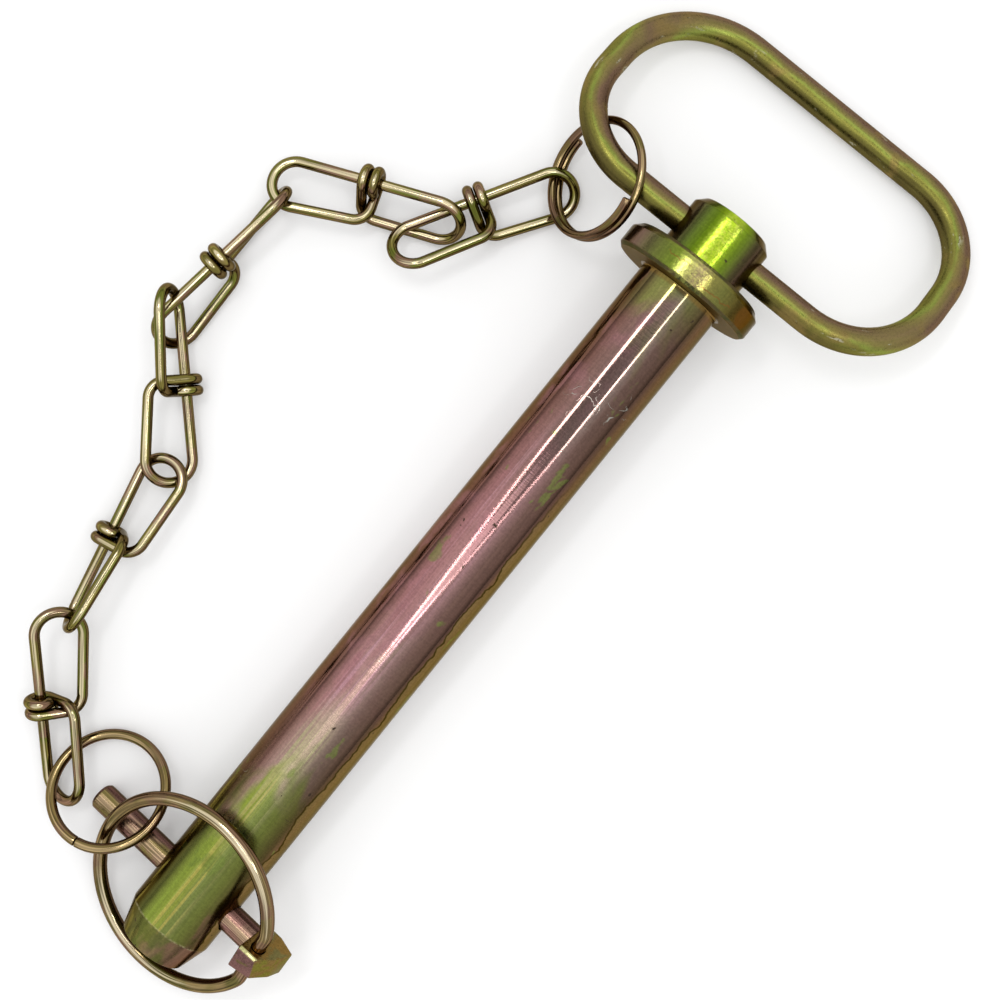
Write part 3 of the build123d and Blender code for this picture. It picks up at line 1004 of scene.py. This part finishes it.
# two bright strips, which draw together over the tip end, and soft boxes over both ends of the
# pin; a row is a lamp's name, place, direction, length, width and radiance
LAMPS = [
    ("head_box", (-0.24, -0.095, 0.92), (1, 0, 0), 0.19, 0.50, 1.1),
    ("strip_left", (-0.03, -0.345, 0.9), (1, 0, 0), 0.25, 0.11, 9.5),
    ("strip_right", (-0.03, 0.306, 0.9), (1, 0, 0), 0.25, 0.06, 9.5),
    ("strip_left_end", (0.200, -0.203, 0.9), (0.20, 0.310, 0), 0.37, 0.030, 8.0),
    ("strip_right_end", (0.200, 0.167, 0.9), (0.20, -0.278, 0), 0.34, 0.022, 6.0),
    ("glow", (0.215, -0.03, 0.95), (1, 0, 0), 0.16, 0.24, 1.2),
    ("glow_end", (0.38, -0.04, 0.95), (1, 0, 0), 0.20, 0.24, 0.6),
]
for row in LAMPS:
    lamp(*row)

# a pale sky, dimmer near the horizon and in a patch overhead between the strips; a slope is how
# far a direction leans, level part over upward part
PATCH_DIM = 0.52
world = bpy.data.worlds.new("studio")
bpy.context.scene.world = world
n = Nodes("studio", world)
way = n.node("ShaderNodeTexCoord").outputs["Generated"]
way_x, way_y, way_z = n.node("ShaderNodeSeparateXYZ", {0: way}).outputs
height = n.math("MAXIMUM", way_z, 0.01)
slope_x, slope_y = n.math("DIVIDE", way_x, height), n.math("DIVIDE", way_y, height)
patch = n.times(n.band(slope_x, -0.07, -0.045), n.band(slope_x, 0.15, 0.08))
patch = n.times(patch, n.band(n.math("ABSOLUTE", slope_y), 0.38, 0.3))
bright = n.times(n.band(way_z, 0.0, 0.3, 0.45, 1.0), n.scaled(patch, -PATCH_DIM, 1.0))
sky = n.node("ShaderNodeBackground", {"Color": (1, 1, 1, 1), "Strength": bright})
n.node("ShaderNodeOutputWorld", {"Surface": sky.outputs[0]})

# the camera looks straight down, with its right and its up along two level ways
CAMERA_AT = (0.0713, -0.0025, 0.452)
camera_data = bpy.data.cameras.new("camera")
camera_data.sensor_width = 36.0
camera_data.lens = 59.11
camera_data.shift_x, camera_data.shift_y = -0.0096, -0.0119
camera_data.clip_start = 0.01
camera = linked("camera", camera_data)
right_way, up_way = Vector((-0.62863, 0.77770, 0)), Vector((-0.77770, -0.62863, 0))
camera.matrix_world = placed(right_way, up_way, right_way.cross(up_way), CAMERA_AT)
bpy.context.scene.camera = camera
bpy.context.scene.view_settings.view_transform = "Standard"

bpy.context.view_layer.update()
